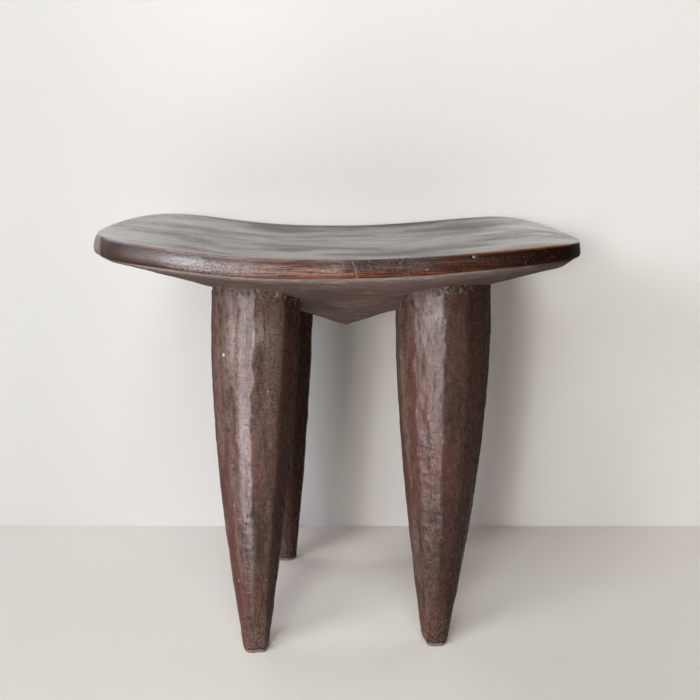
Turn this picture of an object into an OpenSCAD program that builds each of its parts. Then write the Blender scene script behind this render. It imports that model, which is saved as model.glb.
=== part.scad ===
// Four-legged stool carved from one block of dark hardwood.
// A dished seat with a rounded rim sits on a belly that comes down to a blunt point in the
// middle, and four thick legs grow out of the belly and taper to small feet.
// Each carved region is its own solid, and the solids meet face to face, with no joinery.
// X runs along the seat, Y from front to back, and Z up from the floor.

/* [Seat] */
// Length of the seat, left to right
seat_length = 470; // [430:1:560]
// Depth of the seat, front to back
seat_depth = 355; // [330:1:420]
// Height of the rim above the floor, halfway along the seat
seat_height = 394; // [340:1:450]
// Rise of the left end above the middle
left_rise = 17; // [4:0.5:30]
// Rise of the right end above the middle
right_rise = 13; // [4:0.5:30]
// How late the top starts to rise towards the left end
left_sweep = 3.3; // [1.5:0.1:5]
// How late the top starts to rise towards the right end
right_sweep = 2.15; // [1.5:0.05:5]
// Fall of the left end's edge beyond its shoulder
left_fall = 0.5; // [0:0.5:10]
// Fall of the right end's edge beyond its shoulder
right_fall = 8.2; // [0:0.2:12]
// Distance from each end at which its fall begins
fall_start = 60; // [30:1:90]
// Extra hollow of the top between the front and back edges
cross_dish = 3; // [0:0.5:7]
// Depth of the waist in the middle of the front and back edges
waist = 3.2; // [0:0.2:10]
// Half the length of the waist
waist_reach = 80; // [50:1:120]

/* [Seat corners] */
// Straightness of the long edges before they turn into the ends
edge_straightness = 9; // [3:0.5:12]
// Squareness of the left end, where 2 is round
left_squareness = 2.6; // [1.6:0.1:4]
// Squareness of the right end, where 2 is round
right_squareness = 1.9; // [1.6:0.1:4]

/* [Rim] */
// Height of the rim band at the left end
rim_left = 18; // [13:0.5:22]
// Height of the rim band at the right end
rim_right = 14.6; // [12:0.2:22]
// Rounding of the rim's upper edge
rim_top_round = 2.5; // [1:0.5:4]
// Rounding of the rim's lower edge
rim_bottom_round = 4; // [1:0.5:6]

/* [Belly] */
// Drop from the seat's lower face to the belly's point
belly_drop = 72; // [40:1:110]
// Place of the belly's point, right of the seat's middle
belly_point_x = 5; // [-20:1:20]
// Thickness of the belly's edge under the left end of the rim
belly_edge_left = 1.4; // [1:0.2:5]
// Thickness of the belly's edge under the right end of the rim
belly_edge_right = 5; // [1:0.2:8]
// Fullness of the belly towards the ends, where 1 is a straight slope
belly_end_slope = 0.83; // [0.6:0.01:1.2]
// Fullness of the belly towards the front and back, where 1 is a straight slope
belly_side_slope = 1; // [0.7:0.01:1.2]

/* [Legs] */
// Width of each foot at the floor
foot_width = 24; // [16:0.5:36]
// Bevel round each foot's lower edge
foot_bevel = 2; // [0.5:0.5:4]
// Height at which the legs are thickest
leg_belly_height = 320; // [240:1:335]
// Narrowing of each leg from its thickest place up to the seat
leg_neck = 1.2; // [0:0.2:6]
// How full the taper is, where 1 is a straight cone
leg_fullness = 1.6; // [1:0.05:2.2]
// Depth of a leg from front to back, as a share of its width
leg_roundness = 0.95; // [0.8:0.01:1.1]
// Outward bow of each leg at half its height
leg_bow = 2; // [0:0.5:8]
// Number of knife facets round each leg
leg_facets = 10; // [7:1:14]
// Flatness of the knife facets, from a round leg at 0 to flat sides at 1
facet_flatness = 0.7; // [0:0.05:1]
// How far the facets wander round the leg, in degrees
facet_wander = 7; // [0:1:15]

/* [Front left leg] */
// Greatest width of the leg
front_left_width = 85; // [60:1:96]
// Foot, in from the seat's left end
front_left_foot_x = 151; // [125:1:175]
// Foot, in from the seat's front edge
front_left_foot_y = 63.5; // [47.5:1:87.5]
// Top of the leg, in from the seat's left end
front_left_root_x = 158; // [140:1:173]
// Top of the leg, in from the seat's front edge
front_left_root_y = 77.5; // [65.5:1:97.5]

/* [Front right leg] */
// Greatest width of the leg
front_right_width = 91; // [60:1:98]
// Foot, in from the seat's right end
front_right_foot_x = 141; // [115:1:165]
// Foot, in from the seat's front edge
front_right_foot_y = 76.5; // [52.5:1:92.5]
// Top of the leg, in from the seat's right end
front_right_root_x = 139; // [125:1:165]
// Top of the leg, in from the seat's front edge
front_right_root_y = 81.5; // [69.5:1:97.5]

/* [Back left leg] */
// Greatest width of the leg
back_left_width = 84; // [60:1:94]
// Foot, in from the seat's left end
back_left_foot_x = 167; // [135:1:185]
// Foot, in from the seat's back edge
back_left_foot_y = 72.5; // [47.5:1:92.5]
// Top of the leg, in from the seat's left end
back_left_root_x = 161; // [145:1:175]
// Top of the leg, in from the seat's back edge
back_left_root_y = 80.5; // [67.5:1:97.5]

/* [Back right leg] */
// Greatest width of the leg
back_right_width = 86; // [60:1:96]
// Foot, in from the seat's right end
back_right_foot_x = 125; // [110:1:160]
// Foot, in from the seat's back edge
back_right_foot_y = 76.5; // [47.5:1:92.5]
// Top of the leg, in from the seat's right end
back_right_root_x = 128; // [120:1:155]
// Top of the leg, in from the seat's back edge
back_right_root_y = 81.5; // [71.5:1:97.5]

/* [Hidden] */

half_length = seat_length / 2;
half_depth = seat_depth / 2;
rim_middle = (rim_left + rim_right) / 2;
slab_bottom = seat_height - rim_middle;

full_turn = 360;
quarter_turn = 90;

// Points round the seat, and the rings from its middle to its edge
seat_steps = 72;
slab_rings = [0.2, 0.4, 0.58, 0.74, 0.88, 1];
belly_rings = [0.03, 0.12, 0.26, 0.42, 0.58, 0.74, 0.88];
round_steps = 3;

// Points on each knife facet, and the rings up each leg
facet_points = 3;
leg_rings = 18;
// How far each leg's facets start turned, and how they wander with height
front_left_turn = 0;
front_right_turn = 11;
back_left_turn = 23;
back_right_turn = 31;
wander_pitch = 250;
wander_phase = 9;
// The leg's blank ends inside the belly, this far under the seat's slab
root_cover = 2;

seat_colour = [0.27, 0.15, 0.11];
belly_colour = [0.30, 0.22, 0.18];
leg_colour = [0.26, 0.17, 0.14];

// Height of the top along the seat: a power of a sine rises to each end, then the edge falls
function top_z(x) =
    let (left = x < 0, far = abs(x), fall = max(0, far - half_length + fall_start) / fall_start)
    seat_height
    + (left ? left_rise : right_rise)
        * pow(sin(quarter_turn * min(1, far / half_length)), left ? left_sweep : right_sweep)
    - (left ? left_fall : right_fall) * pow(fall, 2);

// Height of the rim band and of the belly's edge, changing evenly along the seat
function along(x, left, right) = left + (right - left) * (x + half_length) / seat_length;
function slab_z(x) = top_z(x) - along(x, rim_left, rim_right);
function belly_edge_z(x) = slab_z(x) - along(x, belly_edge_left, belly_edge_right);

// Plan of the seat at a turn t, moved in by inset: straight long edges, squarish ends, a waist
function plan(t, inset) =
    let (c = cos(t),
         corner = c < 0 ? left_squareness : right_squareness,
         x = (half_length - inset) * c,
         pinch = waist * pow(max(0, 1 - pow(x / waist_reach, 2)), 2),
         y = (half_depth - inset) * pow(max(0, 1 - pow(abs(c), edge_straightness)), 1 / corner))
    [x, sign(sin(t)) * (y - pinch)];

// One ring of the plan, drawn in to a share of its size
function ring(share, inset) =
    [for (i = [0 : seat_steps - 1]) share * plan(full_turn * i / seat_steps, inset)];

function top_ring(share) =
    [for (p = ring(share, rim_top_round))
        [p.x, p.y, top_z(p.x) - cross_dish * (1 - share * share)]];
function slab_ring(share) = [for (p = ring(share, rim_bottom_round)) [p.x, p.y, slab_z(p.x)]];

// The rim's two rounded edges, as quarter circles
function upper_edge(a) =
    [for (p = ring(1, rim_top_round * (1 - sin(a))))
        [p.x, p.y, top_z(p.x) - rim_top_round * (1 - cos(a))]];
function lower_edge(a) =
    [for (p = ring(1, rim_bottom_round * (1 - cos(a))))
        [p.x, p.y, slab_z(p.x) + rim_bottom_round * (1 - sin(a))]];

// One ring of the belly, at a share of the way from its point to its edge
function belly_ring(share) =
    [for (p = ring(1, rim_bottom_round))
        let (u = (p.x - belly_point_x) / half_length,
             v = p.y / half_depth,
             endwise = u * u / (u * u + v * v),
             slope = belly_end_slope * endwise + belly_side_slope * (1 - endwise),
             point_z = slab_bottom - belly_drop)
        [belly_point_x + (p.x - belly_point_x) * share,
         p.y * share,
         point_z + (belly_edge_z(p.x) - point_z) * pow(share, slope)]];

// A closed skin over rings of equal length, from a top point to a bottom point.
// Each four-sided face is split along one of its two diagonals.
module skin(top, rings, bottom, flip = false) {
    n = len(rings[0]);
    last = 1 + len(rings) * n;
    points = concat([top], [for (r = rings) each r], [bottom]);
    faces = concat(
        [for (i = [0 : n - 1]) [0, 1 + (i + 1) % n, 1 + i]],
        [for (k = [0 : len(rings) - 2], i = [0 : n - 1])
            let (a = 1 + k * n + i, b = 1 + k * n + (i + 1) % n, c = b + n, d = a + n)
            each (flip ? [[a, b, d], [b, c, d]] : [[a, b, c], [a, c, d]])],
        [for (i = [0 : n - 1]) [last, last - n + i, last - n + (i + 1) % n]]);
    polyhedron(points, faces);
}

function reversed(list) = [for (i = [len(list) - 1 : -1 : 0]) list[i]];

// The dished slab with its rounded rim
module seat() {
    color(seat_colour) skin(
        [0, 0, top_z(0) - cross_dish],
        concat(
            [for (s = slab_rings) top_ring(s)],
            [for (k = [1 : round_steps]) upper_edge(quarter_turn * k / round_steps)],
            [for (k = [round_steps : -1 : 0]) lower_edge(quarter_turn * (1 - k / round_steps))],
            [for (s = reversed(slab_rings)) if (s < 1) slab_ring(s)]),
        [0, 0, slab_z(0)]);
}

// The belly's lower face, closed by the rings and the top point given
module over_belly(top, cover) {
    skin(
        top,
        concat(cover, [belly_ring(1)], [for (s = reversed(belly_rings)) belly_ring(s)]),
        [belly_point_x, 0, slab_bottom - belly_drop],
        true);
}

// The pointed belly, whose top is the slab's lower face
module belly() {
    color(belly_colour) over_belly([0, 0, slab_z(0)], [for (s = slab_rings) slab_ring(s)]);
}

// Half the width of a leg at a height
function leg_radius(z, width) =
    let (below = max(0, 1 - z / leg_belly_height),
         above = max(0, z - leg_belly_height) / (slab_bottom - leg_belly_height),
         foot = foot_width / 2)
    foot + (width / 2 - foot) * (1 - pow(below, leg_fullness)) - leg_neck * above * above / 2;

// One ring of a leg: an oval whose facets are partly flattened and wander with height
function leg_ring(z, foot, root, width, turn, shrink = 0) =
    let (up = z / slab_bottom,
         bow = leg_bow * sin(2 * quarter_turn * up) * sign(foot.x),
         centre = foot + (root - foot) * up + [bow, 0],
         r = leg_radius(z, width) - shrink,
         step = full_turn / leg_facets,
         count = leg_facets * facet_points,
         drift = turn + facet_wander * sin(wander_pitch * up + turn * wander_phase))
    [for (i = [0 : count - 1])
        let (a = full_turn * i / count,
             flat = cos(step / 2) / cos(a % step - step / 2),
             reach = r * (1 + (flat - 1) * facet_flatness))
        [centre.x + reach * cos(a + drift), centre.y + reach * leg_roundness * sin(a + drift), z]];

// A leg: a faceted blank that runs up into the belly and is cut by the belly's lower face
module leg(foot, root, width, turn) {
    root_z = slab_bottom - root_cover;
    heights = [for (k = [leg_rings : -1 : 1]) foot_bevel + (root_z - foot_bevel) * k / leg_rings];
    rings = concat(
        [for (z = heights) leg_ring(z, foot, root, width, turn)],
        [leg_ring(foot_bevel, foot, root, width, turn)],
        [leg_ring(0, foot, root, width, turn, foot_bevel)]);
    color(leg_colour) difference() {
        skin([root.x, root.y, root_z], rings, [foot.x, foot.y, 0]);
        over_belly([0, 0, top_z(0)], []);
    }
}

// A place that lies so far in from one end and one edge of the seat
function inward(x, y, end, edge) = [end * (half_length - x), edge * (half_depth - y)];

module leg_front_left() {
    leg(inward(front_left_foot_x, front_left_foot_y, -1, -1),
        inward(front_left_root_x, front_left_root_y, -1, -1),
        front_left_width, front_left_turn);
}

module leg_front_right() {
    leg(inward(front_right_foot_x, front_right_foot_y, 1, -1),
        inward(front_right_root_x, front_right_root_y, 1, -1),
        front_right_width, front_right_turn);
}

module leg_back_left() {
    leg(inward(back_left_foot_x, back_left_foot_y, -1, 1),
        inward(back_left_root_x, back_left_root_y, -1, 1),
        back_left_width, back_left_turn);
}

module leg_back_right() {
    leg(inward(back_right_foot_x, back_right_foot_y, 1, 1),
        inward(back_right_root_x, back_right_root_y, 1, 1),
        back_right_width, back_right_turn);
}

seat();
belly();
leg_front_left();
leg_front_right();
leg_back_left();
leg_back_right();
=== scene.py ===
import math
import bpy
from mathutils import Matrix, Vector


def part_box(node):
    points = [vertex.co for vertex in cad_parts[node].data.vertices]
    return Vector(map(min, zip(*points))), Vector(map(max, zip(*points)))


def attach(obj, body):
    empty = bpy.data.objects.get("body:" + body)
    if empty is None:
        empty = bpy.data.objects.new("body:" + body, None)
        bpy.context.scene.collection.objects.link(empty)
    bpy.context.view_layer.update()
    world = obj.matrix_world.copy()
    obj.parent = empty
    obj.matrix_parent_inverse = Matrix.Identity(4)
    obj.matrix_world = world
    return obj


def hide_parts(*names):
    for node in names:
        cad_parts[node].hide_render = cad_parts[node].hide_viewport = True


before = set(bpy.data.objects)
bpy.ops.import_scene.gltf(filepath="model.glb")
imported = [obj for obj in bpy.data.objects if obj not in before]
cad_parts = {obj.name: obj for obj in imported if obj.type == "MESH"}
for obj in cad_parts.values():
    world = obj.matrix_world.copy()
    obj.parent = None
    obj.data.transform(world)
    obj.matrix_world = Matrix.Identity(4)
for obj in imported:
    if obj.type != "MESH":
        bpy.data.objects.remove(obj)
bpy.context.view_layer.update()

from types import SimpleNamespace

import bpy
import numpy as np
from bpy.props import FloatProperty, FloatVectorProperty, PointerProperty

SEAT_LOW, SEAT_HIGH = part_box("seat")

bl_info = {
    "name": "Carved Stool",
    "version": (1, 0, 0),
    "blender": (4, 5, 0),
    "location": "3D View > Sidebar > Stool",
    "description": "A dished stool with a pointed belly, carved from one block of dark hardwood",
    "category": "Add Mesh",
}


def length(label, text, default):
    """A size in metres that a user would change."""
    return FloatProperty(name=label, description=text, default=default, unit="LENGTH", precision=4)


def ratio(label, text, default):
    """A plain number that a user would change."""
    return FloatProperty(name=label, description=text, default=default, precision=3)


def colour(label, text, default):
    """A linear colour that a user would change."""
    return FloatVectorProperty(name=label, description=text, default=default, size=3,
                               min=0, max=1, subtype="COLOR")


class SeatSizes(bpy.types.PropertyGroup):
    """Sizes and colours of the dished seat."""
    length: length("Length", "Length of the seat", SEAT_HIGH.x - SEAT_LOW.x)
    depth: length("Depth", "Depth of the seat", SEAT_HIGH.y - SEAT_LOW.y)
    height: length("Height", "Height of the rim halfway along the seat", 0.394)
    left_rise: length("Left rise", "Rise of the left end above the middle", 0.017)
    right_rise: length("Right rise", "Rise of the right end above the middle", 0.013)
    left_sweep: ratio("Left sweep", "How late the top rises towards the left end", 3.3)
    right_sweep: ratio("Right sweep", "How late the top rises towards the right end", 2.15)
    left_fall: length("Left fall", "Fall of the left end beyond its shoulder", 0.0005)
    right_fall: length("Right fall", "Fall of the right end beyond its shoulder", 0.0082)
    fall_start: length("Fall start", "Distance from each end where its fall begins", 0.06)
    cross_dish: length("Cross dish", "Extra hollow between the front and back edges", 0.003)
    waist: length("Waist", "Depth of the waist in the long edges", 0.0032)
    waist_reach: length("Waist reach", "Half the length of the waist", 0.08)
    straightness: ratio("Edge straightness", "Straightness of the long edges", 9)
    left_squareness: ratio("Left squareness", "Squareness of the left end", 2.6)
    right_squareness: ratio("Right squareness", "Squareness of the right end", 1.9)
    rim_left: length("Left rim", "Height of the rim band at the left end", 0.018)
    rim_right: length("Right rim", "Height of the rim band at the right end", 0.0146)
    lean_left: length("Left lean", "How far the band leans in at its top, left", 0.0034)
    lean_right: length("Right lean", "How far the band leans in at its top, right", 0.0014)
    arris: length("Arris", "Rounding of the band's upper edge", 0.0009)
    under_round: length("Lower rounding", "Rounding of the band's lower edge", 0.004)
    wave: length("Waves", "Height of the waves left by the tools on the top", 0.0012)
    top_colour: colour("Top", "Polished wood of the top", (0.06, 0.036, 0.027))
    # Painted reflection: this pale grey on the top's ends and on the band's end facets stands in for
    # the sheen there
    end_sheen_colour: colour("Ends", "Wood of the top where both ends are rubbed", (0.26, 0.228, 0.205))
    band_colour: colour("Band", "Wood of the rim band", (0.075, 0.028, 0.018))
    worn_colour: colour("Worn edge", "Wood where the rim is rubbed bare", (0.42, 0.115, 0.035))
    # Partly paler wood and partly a painted pinkish sheen on the band's left half
    pale_wood_and_sheen_colour: colour("Pale band", "Paler wood on the left half of the band", (0.36, 0.2, 0.165))
    # Painted sheen: silver specks that stand in for light on the band's left part
    silver_sheen_colour: colour("Silver", "Silvery specks near the band's left end", (0.4, 0.38, 0.41))
    glint_colour: colour("Glint", "Cool sheen on the upper edge by the left end", (0.22, 0.22, 0.33))
    chip_colour: colour("Chips", "Pale wood in the nicks and the scratch", (0.42, 0.33, 0.28))


class BellySizes(bpy.types.PropertyGroup):
    """Sizes and colours of the pointed belly."""
    drop: length("Drop", "Drop from the seat's lower face to the point", 0.072)
    point_x: length("Point", "Place of the point, right of the middle", 0.005)
    blunt: length("Bluntness", "Radius of the blunt point", 0.004)
    edge_left: length("Left edge", "Thickness of the edge under the left end", 0.0014)
    edge_right: length("Right edge", "Thickness of the edge under the right end", 0.005)
    end_slope: ratio("End slope", "Fullness towards the ends", 0.83)
    side_slope: ratio("Side slope", "Fullness towards the front and back", 1)
    cut: length("Adze cuts", "Depth of the adze cuts", 0.0006)
    wood_colour: colour("Wood", "Matt wood of the underside", (0.152, 0.091, 0.073))
    dust_colour: colour("Dust", "Paler wood on high places", (0.225, 0.165, 0.138))


class LegSizes(bpy.types.PropertyGroup):
    """Sizes and colours that the four legs share."""
    foot_width: length("Foot width", "Width of each foot at the floor", 0.024)
    bevel: length("Foot bevel", "Height of the bevel round each foot", 0.0034)
    bevel_in: length("Foot bevel depth", "How far the bevel comes in", 0.0014)
    thickest: length("Thickest height", "Height at which the legs are thickest", 0.32)
    neck: length("Neck", "Narrowing from the thickest place up to the seat", 0.0012)
    fullness: ratio("Fullness", "How full the taper is", 1.6)
    roundness: ratio("Roundness", "Depth of a leg as a share of its width", 0.95)
    bow: length("Bow", "Outward bow at half height", 0.002)
    flatness: ratio("Facet flatness", "Flatness of the knife facets", 1)
    squareness: ratio("Foot squareness", "How square the feet are", 0.8)
    cut: length("Knife cuts", "Depth of the knife cuts", 0.0005)
    fleck: length("Flecks", "Radius of the pale flecks", 0.0017)
    wood_colour: colour("Wood", "Brown wood of the legs", (0.096, 0.045, 0.034))
    red_colour: colour("Red wood", "Redder wood where the surface is rubbed", (0.158, 0.052, 0.042))
    dull_colour: colour("Dull wood", "Duller wood on the right of the front", (0.165, 0.108, 0.08))
    # Painted sheen: paler patches that stand in for light on the legs' waxy facets
    painted_sheen_colour: colour("Bloom", "Dry paler patches", (0.3, 0.235, 0.225))
    sawn_colour: colour("Foot edge", "Weathered wood on the bevel of each foot", (0.3, 0.275, 0.235))
    # Grey patina and dust, and also painted sheen where it lies on the open side of each leg
    grey_patina_and_sheen_colour: colour("Grey patina", "Grey patina on high places", (0.18, 0.12, 0.098))


class StageSizes(bpy.types.PropertyGroup):
    """Camera, light and backdrop."""
    wall_y: length("Wall", "Place of the wall behind the stool", 0.204)
    lens: ratio("Lens", "Focal length of the camera in millimetres", 51.14)
    pitch: FloatProperty(name="Pitch", description="How far the camera looks down",
                         default=math.radians(12.03), subtype="ANGLE")
    lamp_power: FloatProperty(name="Lamp power", description="Power of the soft lamps together",
                              default=40, unit="POWER")
    world_level: ratio("Room light", "Level of the light from the room", 0.02)
    # Painted shade in what polished wood reflects of the wall and floor
    dim_wall: ratio("Dim wall", "How much darker the wall shows in polished wood", 0.85)
    dim_right_wall: ratio("Dim right wall", "The same for the wall right of the middle", 0.97)
    dim_floor: ratio("Dim floor", "How much darker the floor shows in polished wood", 0.7)
    floor_colour: colour("Floor", "Pale floor", (0.95, 0.915, 0.885))
    wall_colour: colour("Wall", "Pale wall", (0.87, 0.865, 0.86))


def lattice_noise(u, v, across, along, seed, wrap=False):
    """Smooth noise from -1 to 1. Random heights stand on a lattice of across by along cells, and
    the height between them follows 3t^2 - 2t^3 both ways. u and v run from 0 to 1, and with wrap
    the two ends of u meet."""
    heights = np.random.default_rng(seed).uniform(-1, 1, (across + 1, along + 1))
    if wrap:
        heights[-1] = heights[0]
    a = np.clip(u, 0, 1) * across
    b = np.clip(v, 0, 1) * along
    i = np.minimum(a.astype(int), across - 1)
    j = np.minimum(b.astype(int), along - 1)
    s = (a - i) ** 2 * (3 - 2 * (a - i))
    t = (b - j) ** 2 * (3 - 2 * (b - j))
    near = heights[i, j] * (1 - s) + heights[i + 1, j] * s
    far = heights[i, j + 1] * (1 - s) + heights[i + 1, j + 1] * s
    return near * (1 - t) + far * t


# Where in its cell the middle of a tool's hollow may lie, and the squared distance from it, in
# cells, at which the height is full
HOLLOW_PLACE = (0.12, 0.88)
HOLLOW_END = 0.6


def tool_cuts(u, v, across, along, seed, wrap=False):
    """Shallow hollows that meet in crisp ridges. The height is the squared distance to the nearest
    of a jittered lattice of points, as a share of the one at a hollow's end, and at most 1."""
    jitter = np.random.default_rng(seed).uniform(*HOLLOW_PLACE, (across, along, 2))
    a = u * across
    b = v * along
    i = np.floor(a).astype(int)
    j = np.floor(b).astype(int)
    nearest = np.full(np.shape(a), np.inf)
    for side in (-1, 0, 1):
        for end in (-1, 0, 1):
            column = (i + side) % across if wrap else np.clip(i + side, 0, across - 1)
            row = np.clip(j + end, 0, along - 1)
            point = jitter[column, row]
            step = (a - i - side - point[..., 0]) ** 2 + (b - j - end - point[..., 1]) ** 2
            nearest = np.minimum(nearest, step)
    return np.minimum(nearest / HOLLOW_END, 1)


def eased(value, start, end):
    """0 before start, 1 after end, and 3t^2 - 2t^3 between them."""
    t = np.clip((value - start) / (end - start), 0, 1)
    return t * t * (3 - 2 * t)


def along_seat(x, left, right, seat):
    """A value that changes evenly from the seat's left end to its right end."""
    return left + (right - left) * (x / seat.length + 0.5)


def top_height(x, seat):
    """Height of the top along the seat: the middle height, plus the end's rise times a power of
    the sine of the way out, less a fall that grows with the square past the shoulder."""
    half = seat.length / 2
    left = x < 0
    rise = np.where(left, seat.left_rise, seat.right_rise)
    sweep = np.where(left, seat.left_sweep, seat.right_sweep)
    fall = np.where(left, seat.left_fall, seat.right_fall)
    past = np.maximum(0, np.abs(x) - half + seat.fall_start) / seat.fall_start
    way = np.sin(np.pi / 2 * np.minimum(1, np.abs(x) / half))
    return seat.height + rise * way ** sweep - fall * past ** 2


def slab_height(x, seat):
    """Height of the seat's lower face: the top less the band's height."""
    return top_height(x, seat) - along_seat(x, seat.rim_left, seat.rim_right, seat)


def slab_middle(seat):
    """Height of the seat's lower face halfway along, by the mean height of the band."""
    return seat.height - (seat.rim_left + seat.rim_right) / 2


# Flats that were cut across the front corners of the seat: a place on each, where it faces, and
# how softly it meets the edge
FLATS = ((-0.205, -0.154, 207.8, 0.0004), (0.2067, -0.1471, 335.4, 0.004))


def plan(turn, inset, seat):
    """Plan of the edge at a turn, moved in by inset. x is half the length times the cosine c, and y
    is half the depth times (1 - |c|^straightness)^(1/squareness), less the pinch of the waist. What
    lies beyond a flat is moved back onto it."""
    c = np.cos(turn)
    corner = np.where(c < 0, seat.left_squareness, seat.right_squareness)
    x = (seat.length / 2 - inset) * c
    bulge = np.maximum(0, 1 - np.abs(c) ** seat.straightness) ** (1 / corner)
    pinch = seat.waist * np.maximum(0, 1 - (x / seat.waist_reach) ** 2) ** 2
    y = np.sign(np.sin(turn)) * ((seat.depth / 2 - inset) * bulge - pinch)
    for place_x, place_y, facing, soft in FLATS:
        out_x, out_y = math.cos(math.radians(facing)), math.sin(math.radians(facing))
        over = (x - place_x) * out_x + (y - place_y) * out_y + inset
        over = (over + np.hypot(over, soft)) / 2
        x, y = x - over * out_x, y - over * out_y
    return x, y


def even_turns(count, seat):
    """Turns whose points lie at even steps along the seat's edge, measured along a polyline with 16
    times as many points."""
    fine = np.linspace(0, 2 * np.pi, 16 * count + 1)
    x, y = plan(fine, 0, seat)
    run = np.concatenate([[0], np.cumsum(np.hypot(np.diff(x), np.diff(y)))])
    return np.interp(np.linspace(0, run[-1], count, endpoint=False), run, fine)


def closed_skin(name, rings, top, bottom, marks):
    """A closed mesh over rings that run anticlockwise from above. Each ring is joined to the next
    by four-sided faces, and the first and last rings to a point each."""
    rows, count = rings.shape[:2]
    points = np.concatenate([rings.reshape(-1, 3), [top], [bottom]])
    index = np.arange(rows * count).reshape(rows, count)
    after = np.roll(index, -1, axis=1)
    side_shade = np.stack([index[:-1], index[1:], after[1:], after[:-1]], -1).reshape(-1, 4)
    peak, foot = rows * count, rows * count + 1
    upper = np.stack([np.full(count, peak), index[0], after[0]], -1)
    lower = np.stack([np.full(count, foot), after[-1], index[-1]], -1)
    mesh = bpy.data.meshes.new(name)
    mesh.from_pydata(points.tolist(), [], side_shade.tolist() + upper.tolist() + lower.tolist())
    for mark, values in marks.items():
        ends = [values[0].mean(), values[-1].mean()]
        layer = mesh.attributes.new(mark, "FLOAT", "POINT")
        layer.data.foreach_set("value", np.concatenate([values.ravel(), ends]).astype(np.float32))
    mesh.shade_smooth()
    piece = bpy.data.objects.new(name, mesh)
    bpy.context.scene.collection.objects.link(piece)
    return piece


def dress(piece, node, material):
    """Puts the finish on a piece, and sets it in the frame in place of its node."""
    piece.data.materials.append(material)
    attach(piece, "root")
    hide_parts(node)


# Points round the seat, and its rings over the top, the band's arris, nose and lower turn, and the
# lower face
EDGE_POINTS = 760
TOP_RINGS = 62
ARRIS_RINGS = 4
NOSE_RINGS = 12
TURN_RINGS = 9
UNDER_RINGS = 8

# Share of the band's height down to which its nose reaches, turn of its arris, share of the arris
# between the top's last ring and the band's first, and depths of its wobble and tool cuts
NOSE_SHARE = 0.66
ARRIS_TURN = math.radians(65)
ARRIS_GAP = 0.3
BAND_WOBBLE = 0.0004
BAND_CUT = 0.00045

# Waves on the top: two noises, each with a share, cells along and across the seat and its own
# draw, then the same for the tool cuts, and where they fade out on the way to the band
TOP_NOISES = ((0.55, 5, 5, 21), (0.25, 9, 12, 22))
TOP_CUTS = (0.2, 9, 12, 23)
CALM_EDGE = (0.93, 1)

# Where marks start and are full on the way down the band: the band itself, its rubbed edges and the
# stripe of painted shade, which has a start along the seat too
BAND_START = (0, 0.12)
UPPER_EDGE = (0.2, 0.12)
LOWER_EDGE, TO_LOWER_EDGE = (0.72, 0.79), (0.9, 0.84)
SHADED_STRIPE, TO_SHADED_STRIPE = (0.12, 0.2), (0.42, 0.26)
SHADED_STRIPE_ALONG = (-0.175, -0.1)

# A long scratch across the band: its place along the seat at one height, its slant and how far it
# wanders, and where it starts and is full, across its width, down from its top and from the middle
# of the seat towards the front
SCRATCH_X = 0.0149
SCRATCH_Z = 0.386
SCRATCH_SLANT = 0.3
SCRATCH_WANDER = 0.003
SCRATCH_WIDTH = (0.0006, 0.0002)
SCRATCH_TOP = (0.3935, 0.391)
SCRATCH_FRONT = (0, -0.03)

# Nicks in the front of the band: place along the seat, height under the top, radius, depth
NICKS = (
    (0.1155, 0.003, 0.0012, 0.001),
    (0.0345, 0.0105, 0.0009, 0.0006),
    (0.0515, 0.0035, 0.0007, 0.0006),
    (0.0565, 0.0045, 0.0006, 0.0005),
    (0.0745, 0.0105, 0.0006, 0.0006),
    (-0.128, 0.002, 0.0006, 0.0006),
    (-0.109, 0.0025, 0.0005, 0.0005),
)


def band_profile(x, seat):
    """Inset and drop of the rim band from its upper edge to its lower one: a small arc for the
    arris, a nose that comes forward as (1 - s)^1.7, and a quarter ellipse that turns under."""
    height = along_seat(x, seat.rim_left, seat.rim_right, seat)
    lean = along_seat(x, seat.lean_left, seat.lean_right, seat)
    nose = NOSE_SHARE * height
    a = np.linspace(0, ARRIS_TURN, ARRIS_RINGS + 1)[1:, None]
    start = seat.arris * (1 - math.cos(ARRIS_TURN))
    s = np.linspace(0, 1, NOSE_RINGS + 1)[1:, None]
    b = np.linspace(0, np.pi / 2, TURN_RINGS + 1)[1:, None]
    inset = np.concatenate([
        lean + seat.arris * (math.sin(ARRIS_TURN) - np.sin(a)),
        lean * (1 - s) ** 1.7,
        seat.under_round * (1 - np.cos(b)) * np.ones_like(x),
    ])
    drop = np.concatenate([
        seat.arris * (1 - np.cos(a)) * np.ones_like(x),
        start + (nose - start) * s,
        nose + (height - nose) * np.sin(b),
    ])
    return inset, drop


def top_rings(turns, inset, seat):
    """Rings of the top from its middle out to an inset. The height is that along the seat, less a
    hollow of 1 - s^2 at a share s of the way out, and the waves left by the tools."""
    rim_x, rim_y = plan(turns, inset, seat)
    share = np.linspace(0, 1, TOP_RINGS + 1)[1:, None]
    x, y = share * rim_x, share * rim_y
    u, v = x / seat.length + 0.5, y / seat.depth + 0.5
    wave = sum(part * lattice_noise(u, v, *cells) for part, *cells in TOP_NOISES)
    wave = wave + TOP_CUTS[0] * tool_cuts(u, v, *TOP_CUTS[1:])
    calm = 1 - eased(share, *CALM_EDGE)
    z = (top_height(x, seat) - seat.cross_dish * (1 - share ** 2)
         - seat.wave * (1 - wave) * calm)
    return np.stack([x, y, z], -1)


def lower_rings(turns, seat):
    """Rings of the seat's lower face from its edge in towards its middle."""
    edge_x, edge_y = plan(turns, seat.under_round, seat)
    back = np.linspace(1, 0, UNDER_RINGS + 1)[1:-1, None]
    x, y = back * edge_x, back * edge_y
    return np.stack([x, y, slab_height(x, seat)], -1)


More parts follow.
